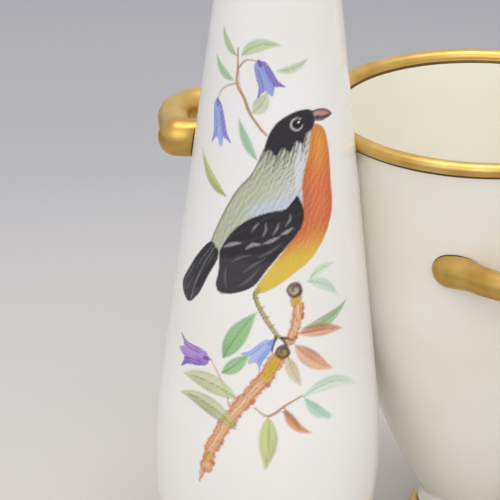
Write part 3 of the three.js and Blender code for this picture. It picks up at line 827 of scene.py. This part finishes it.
def sprig(sheet):
    """The right flask's plainer sprig: one bare stem with leaves and two harebells."""
    stem = [(-9, 40), (-4, 56), (1, 74), (0, 92), (4, 108), (3, 124)]
    bark(sheet, stem[:3], 2.4, 1.4, 5.0)
    stroke(sheet, stem[2:], 1.4, 0.5, STALK, 0.95, middle=0.9)
    leaf(sheet, (-5, 54), (-19, 66), 4.6, 0.12, LEAF, DEEP_LEAF, seed=31)
    leaf(sheet, (-3, 58), (13, 60), 4.8, -0.1, LIME, OLIVE, vein=MOSS, seed=32)
    leaf(sheet, (1, 73), (16, 84), 4.4, 0.1, ORANGE, RUST, vein=DARK_BARK, seed=33)
    leaf(sheet, (1, 78), (-13, 90), 4.2, -0.12, LEAF, DEEP_LEAF, seed=34)
    leaf(sheet, (0, 94), (-11, 108), 3.4, 0.1, PALE_LEAF, SAGE, seed=35)
    leaf(sheet, (2, 100), (13, 112), 3.4, -0.1, TEAL, "6fa98a", seed=36)
    leaf(sheet, (4, 112), (-5, 126), 2.8, 0.1, PALE_LEAF, SAGE, seed=37)
    leaf(sheet, (3, 124), (9, 138), 2.8, -0.08, LEAF, SAGE, seed=38)
    stroke(sheet, [(4, 108), (9, 112), (14, 108), (15, 104)], 0.5, 0.4, TWIG, 0.9)
    stroke(sheet, [(-4, 56), (-10, 54), (-14, 49), (-15, 47)], 0.5, 0.4, TWIG, 0.9)
    bell(sheet, (15, 104), (17, 91), 6.4, PURPLE, BLUE, seed=5)
    bell(sheet, (-15, 47), (-18, 36), 5.8, "6d6fc4", PALE_BLUE, seed=6)


# The fired vase
# The three vessels and their loops are luted together with slip and fired as one piece, so they
# are one mesh. The glazes, the painting, the gilding and the dark lines beside it are finishes
# on that piece. The flasks are divided finely only in the bands that their paintings cover.

LEFT_PAINTED = [(28, 50, -67, -1), (50, 90, -97, 29), (90, 132, -91, 23), (132, 154, -91, 5)]
RIGHT_PAINTED = [(35, 78, -67, 5), (78, 112, -67, 23), (112, 140, -43, 5)]
CLEAR_OF_THE_ROOTS = 5.0

left_flask = flask(-PITCH, LEFT_PAINTED, parts=6, step=0.42)
right_flask = flask(PITCH, RIGHT_PAINTED, parts=3, step=0.9)
cup = bowl()
beside_the_flasks = [(0, bowl_outside, flask_outside)]
beside_the_bowl = [(side * PITCH, flask_outside, bowl_outside) for side in (-1, 1)]
shells = [(with_slip(left_flask[0], -PITCH, beside_the_flasks), *left_flask[1:]),
          (with_slip(right_flask[0], PITCH, beside_the_flasks), *right_flask[1:]),
          (with_slip(cup[0], 0, beside_the_bowl), *cup[1:])]
off_wall = [np.full(sum(len(points) for points, _, _ in shells), CLEAR_OF_THE_ROOTS)]
for shape, wall, axis_x, side in ((BOWL_LOOP, bowl_outside, 0, -1),
                                  (BOWL_LOOP, bowl_outside, 0, 1),
                                  (FLASK_LOOP, flask_outside, -PITCH, 1),
                                  (FLASK_LOOP, flask_outside, PITCH, 1)):
    points, faces, away = loop(shape, wall, axis_x, side)
    if side < 0:
        faces = faces[:, ::-1]
    shells.append((points, faces, np.full(len(faces), GOLD)))
    off_wall.append(away)

starts = np.cumsum([0] + [len(points) for points, _, _ in shells])
points = np.concatenate([shell[0] for shell in shells])
faces = np.concatenate([shell[1] + start for shell, start in zip(shells, starts)])
finishes = np.concatenate([shell[2] for shell in shells])

left_sheet = new_sheet(left_flask[0], -PITCH)
for part in (top_spray, middle_leaves, perch, low_leaves,
             bird_back, bird_breast, bird_tail, bird_wing, bird_head, bird_leg):
    part(left_sheet)
right_sheet = new_sheet(right_flask[0], PITCH)
sprig(right_sheet)
painting = np.zeros((len(points), 4), np.float32)
for sheet, start in ((left_sheet, starts[0]), (right_sheet, starts[1])):
    end = start + len(sheet["cover"])
    painting[start:end, :3] = sheet["rgb"]
    painting[start:end, 3] = sheet["cover"]

mesh = bpy.data.meshes.new("gilded_triple_vase")
mesh.vertices.add(len(points))
mesh.vertices.foreach_set("co", (points * MM).astype(np.float32).ravel())
mesh.loops.add(faces.size)
mesh.loops.foreach_set("vertex_index", faces.astype(np.int32).ravel())
mesh.polygons.add(len(faces))
mesh.polygons.foreach_set("loop_start", np.arange(0, faces.size, 3, dtype=np.int32))
mesh.polygons.foreach_set("material_index", finishes.astype(np.int32))
mesh.update()
mesh.validate()
mesh.shade_smooth()
paint_layer = mesh.attributes.new("painting", "FLOAT_COLOR", "POINT")
paint_layer.data.foreach_set("color", painting.ravel())
root_layer = mesh.attributes.new("off_wall", "FLOAT", "POINT")
root_layer.data.foreach_set("value", np.concatenate(off_wall).astype(np.float32))

vase = bpy.data.objects.new("gilded_triple_vase", mesh)
bpy.context.scene.collection.objects.link(vase)
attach(vase, "root")
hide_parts("triple_vase")


# The glazes
# Clear feldspar glaze fired over thrown porcelain: white on the flasks and creamier on the
# bowl. Each has its colour, its warmer colour where it is thick, and its specks' colour. Scales
# are waves or cells to a metre.

BLACK_STOP, WHITE_STOP = (0, 0, 0, 1), (1, 1, 1, 1)
COLOUR_A, COLOUR_B, MIXED_COLOUR = 6, 7, 2
WHITE_GLAZE = "f8f6f3", "f5f2ec", "b8ab92"
CREAM_GLAZE = "f7f3ea", "f3eee2", "a8946a"
GLAZE_ROUGHNESS = 0.13
ENAMEL_ROUGHNESS = 0.3
GLAZE_IOR = 1.5
THICKNESS_SCALE = 33.0
SPECK_SCALE = 70.0
RIPPLE_SCALE = 120.0
RIPPLE_HEIGHT = 0.0002


def node(tree, kind, sockets=(), stops=(), **settings):
    """Adds a node with its settings, gives each socket, by name or number, a value or a link,
    and gives a ramp its (place, colour) stops."""
    new = tree.nodes.new(kind)
    for name, value in settings.items():
        setattr(new, name, value)
    for name, value in dict(sockets).items():
        if isinstance(value, bpy.types.NodeSocket):
            tree.links.new(value, new.inputs[name])
        else:
            new.inputs[name].default_value = value
    if stops:
        elements = new.color_ramp.elements
        while len(elements) < len(stops):
            elements.new(1)
        for element, (place, colour) in zip(elements, stops):
            element.position = place
            element.color = colour
    return new


def new_material(name):
    """An empty material, its node tree, and the piece's Object coordinates in it."""
    material = bpy.data.materials.new(name)
    material.use_nodes = True
    tree = material.node_tree
    tree.nodes.clear()
    return material, tree, node(tree, "ShaderNodeTexCoord").outputs["Object"]


def rgba(colour):
    """An sRGB hex colour as a linear colour with full alpha."""
    return (*linear(colour), 1)


def glaze(name, colour, warm, speck, painted=False):
    """The glaze is glassy, so its shine is sharp. Its thickness drifts over 30 mm or so, which
    tints it, its skin ripples faintly 8 mm apart, and a few iron specks 0.5 mm across show in
    it. Where enamel is painted on it, the enamel's colour covers it and its shine is softer."""
    material, tree, place = new_material(name)
    drift = node(tree, "ShaderNodeTexNoise", {"Vector": place, "Scale": THICKNESS_SCALE, "Detail": 2.0})
    thickness = node(tree, "ShaderNodeValToRGB", {"Fac": drift.outputs["Fac"]},
                     [(0.35, BLACK_STOP), (0.68, WHITE_STOP)])
    tint = node(tree, "ShaderNodeMix", {"Factor": thickness.outputs["Color"], COLOUR_A: rgba(colour),
                                        COLOUR_B: rgba(warm)}, data_type="RGBA")
    cells = node(tree, "ShaderNodeTexVoronoi", {"Vector": place, "Scale": SPECK_SCALE, "Randomness": 1.0})
    dot = node(tree, "ShaderNodeValToRGB", {"Fac": cells.outputs["Distance"]},
               [(0.012, WHITE_STOP), (0.022, BLACK_STOP)])
    chance = node(tree, "ShaderNodeSeparateColor", {"Color": cells.outputs["Color"]})
    chosen = node(tree, "ShaderNodeValToRGB", {"Fac": chance.outputs[0]},
                  [(0.86, BLACK_STOP), (0.87, WHITE_STOP)])
    specks = node(tree, "ShaderNodeMath", {0: dot.outputs["Color"], 1: chosen.outputs["Color"]},
                  operation="MULTIPLY")
    speckled = node(tree, "ShaderNodeMix", {"Factor": specks.outputs[0], COLOUR_B: rgba(speck),
                                            COLOUR_A: tint.outputs[MIXED_COLOUR]}, data_type="RGBA")
    base = speckled.outputs[MIXED_COLOUR]
    roughness = GLAZE_ROUGHNESS
    if painted:
        paint = node(tree, "ShaderNodeAttribute", attribute_name="painting")
        cover = paint.outputs["Alpha"]
        enamelled = node(tree, "ShaderNodeMix", {"Factor": cover, COLOUR_A: base,
                                                 COLOUR_B: paint.outputs["Color"]}, data_type="RGBA")
        base = enamelled.outputs[MIXED_COLOUR]
        roughness = node(tree, "ShaderNodeMapRange", {"Value": cover, "To Min": GLAZE_ROUGHNESS,
                                                      "To Max": ENAMEL_ROUGHNESS}).outputs[0]
    ripple = node(tree, "ShaderNodeTexNoise", {"Vector": place, "Scale": RIPPLE_SCALE, "Detail": 1.0})
    bump = node(tree, "ShaderNodeBump", {"Height": ripple.outputs["Fac"], "Strength": 0.15,
                                         "Distance": RIPPLE_HEIGHT})
    shader = node(tree, "ShaderNodeBsdfPrincipled", {"Base Color": base, "Roughness": roughness,
                                                     "IOR": GLAZE_IOR, "Normal": bump.outputs[0]})
    node(tree, "ShaderNodeOutputMaterial", {"Surface": shader.outputs[0]})
    return material


# The gilding
# Liquid gold brushed on by hand round each lip, along each loop and on the bowl's foot, fired
# at a low heat and burnished, with a dark brown enamel line beside it.

PALE_GOLD, DEEP_GOLD, ROOT_LINE = "e2bf74", "c8a052", "4a3318"
EDGE_BROWN, EDGE_TAN = "46300f", "6b4f1d"
ROOT_LINE_FROM, ROOT_LINE_TO = 0.4, 0.6
BURNISHED, BRUSHED = 0.24, 0.56
BRUSH_SCALE = 420.0
BRUSH_STRETCH = (1.0, 1.0, 7.0)
BRUSH_DEPTH = 0.0001
CLOUD_SCALE = 90.0
UNEVEN_SCALE = 250.0
ENAMEL_LINE_ROUGHNESS = 0.35


def gilding():
    """Burnished gold shines softly. Brush marks 2.4 mm long and 0.3 mm apart vary its shine,
    its colour clouds over 11 mm or so, and a dark brown band 0.5 mm wide, not metallic, runs
    round each loop's root where it meets the wall, where the gold's distance off the wall is that small."""
    material, tree, place = new_material("burnished_gold")
    stretched = node(tree, "ShaderNodeMapping", {"Vector": place, "Scale": BRUSH_STRETCH})
    marks = node(tree, "ShaderNodeTexNoise", {"Vector": stretched.outputs[0], "Scale": BRUSH_SCALE,
                                              "Detail": 3.0})
    cloud = node(tree, "ShaderNodeTexNoise", {"Vector": place, "Scale": CLOUD_SCALE, "Detail": 2.0})
    thickness = node(tree, "ShaderNodeValToRGB", {"Fac": cloud.outputs["Fac"]},
                     [(0.35, BLACK_STOP), (0.65, WHITE_STOP)])
    tone = node(tree, "ShaderNodeMix", {"Factor": thickness.outputs["Color"], COLOUR_A: rgba(PALE_GOLD),
                                        COLOUR_B: rgba(DEEP_GOLD)}, data_type="RGBA")
    away = node(tree, "ShaderNodeAttribute", attribute_name="off_wall")
    # A dark brown, unmetallic band where the gold lies within 0.4 to 0.6 mm of the wall, round each
    # loop's root.
    gilt = node(tree, "ShaderNodeMapRange", {"Value": away.outputs["Fac"], "From Min": ROOT_LINE_FROM,
                                             "From Max": ROOT_LINE_TO}).outputs[0]
    edged = node(tree, "ShaderNodeMix", {"Factor": gilt, COLOUR_A: rgba(ROOT_LINE),
                                         COLOUR_B: tone.outputs[MIXED_COLOUR]}, data_type="RGBA")
    shine = node(tree, "ShaderNodeMapRange", {"Value": marks.outputs["Fac"], "To Min": BURNISHED,
                                              "To Max": BRUSHED})
    bump = node(tree, "ShaderNodeBump", {"Height": marks.outputs["Fac"], "Strength": 0.2,
                                         "Distance": BRUSH_DEPTH})
    shader = node(tree, "ShaderNodeBsdfPrincipled", {
        "Base Color": edged.outputs[MIXED_COLOUR], "Metallic": gilt, "Roughness": shine.outputs[0],
        "Normal": bump.outputs[0]})
    node(tree, "ShaderNodeOutputMaterial", {"Surface": shader.outputs[0]})
    return material


def edging():
    """The brown enamel line beside the gilding looks soft and a little uneven along its length,
    as the brush ran dry every 4 mm or so."""
    material, tree, place = new_material("brown_enamel_line")
    uneven = node(tree, "ShaderNodeTexNoise", {"Vector": place, "Scale": UNEVEN_SCALE, "Detail": 2.0})
    tone = node(tree, "ShaderNodeMix", {"Factor": uneven.outputs["Fac"], COLOUR_A: rgba(EDGE_BROWN),
                                        COLOUR_B: rgba(EDGE_TAN)}, data_type="RGBA")
    shader = node(tree, "ShaderNodeBsdfPrincipled", {"Base Color": tone.outputs[MIXED_COLOUR],
                                                     "Roughness": ENAMEL_LINE_ROUGHNESS})
    node(tree, "ShaderNodeOutputMaterial", {"Surface": shader.outputs[0]})
    return material


for material in (glaze("white_glazed_porcelain", *WHITE_GLAZE),
                 glaze("painted_glazed_porcelain", *WHITE_GLAZE, painted=True),
                 glaze("cream_glazed_porcelain", *CREAM_GLAZE),
                 gilding(), edging()):
    mesh.materials.append(material)


# The stage
# A wide sheet of matt paper whose colour carries a painted pool of light: palest under the left
# flask and greyer further off. It lies under a bright, even surround with three soft boxes, as
# in a light tent. Metres and watts.

FLOOR_REACH = 6.0
FLOOR_LIGHT_POOL_TONES = [(0.06, "c4c0bc"), (0.13, "bfbcba"), (0.2, "b9b6b7"), (0.27, "aaaaad"), (0.45, "9a999f")]
SURROUND_STRENGTH = 0.8
SOFTBOXES = {"key_light": ((-1.3, -0.9, 1.3), 1.0, 2),
             "top_light": ((0.1, 0.1, 1.8), 0.9, 12),
             "front_light": ((-0.5, -1.3, 1.2), 1.4, 7)}
LIT_POINT = Vector((0, 0, 0.1))

floor = bpy.data.objects.new("floor", bpy.data.meshes.new("floor"))
corners = FLOOR_REACH * np.array([(-1, -1, 0), (1, -1, 0), (1, 1, 0), (-1, 1, 0)])
floor.data.from_pydata(corners.tolist(), [], [(0, 1, 2, 3)])
bpy.context.scene.collection.objects.link(floor)
paper, tree, place = new_material("paper_with_painted_light_pool")
# Painted pool of light: the paper's colour pales towards the left flask's axis and greys away from it.
centred = node(tree, "ShaderNodeMapping", {"Vector": place, "Location": (PITCH * MM, 0, 0)})
distance = node(tree, "ShaderNodeVectorMath", {0: centred.outputs[0]}, operation="LENGTH")
tone = node(tree, "ShaderNodeValToRGB", {"Fac": distance.outputs["Value"]},
            [(reach, rgba(colour)) for reach, colour in FLOOR_LIGHT_POOL_TONES])
shader = node(tree, "ShaderNodeBsdfPrincipled", {"Base Color": tone.outputs["Color"],
                                                 "Roughness": 0.9, "Specular IOR Level": 0.1})
node(tree, "ShaderNodeOutputMaterial", {"Surface": shader.outputs[0]})
floor.data.materials.append(paper)

world = bpy.data.worlds.new("studio")
world.use_nodes = True
world.node_tree.nodes["Background"].inputs["Color"].default_value = (1, 1, 1, 1)
world.node_tree.nodes["Background"].inputs["Strength"].default_value = SURROUND_STRENGTH
bpy.context.scene.world = world
bpy.context.scene.view_settings.view_transform = "Standard"

for name, (place, size, power) in SOFTBOXES.items():
    light = bpy.data.lights.new(name, "AREA")
    light.size = size
    light.energy = power
    lamp = bpy.data.objects.new(name, light)
    lamp.location = place
    lamp.rotation_euler = (LIT_POINT - Vector(place)).to_track_quat("-Z", "Y").to_euler()
    bpy.context.scene.collection.objects.link(lamp)
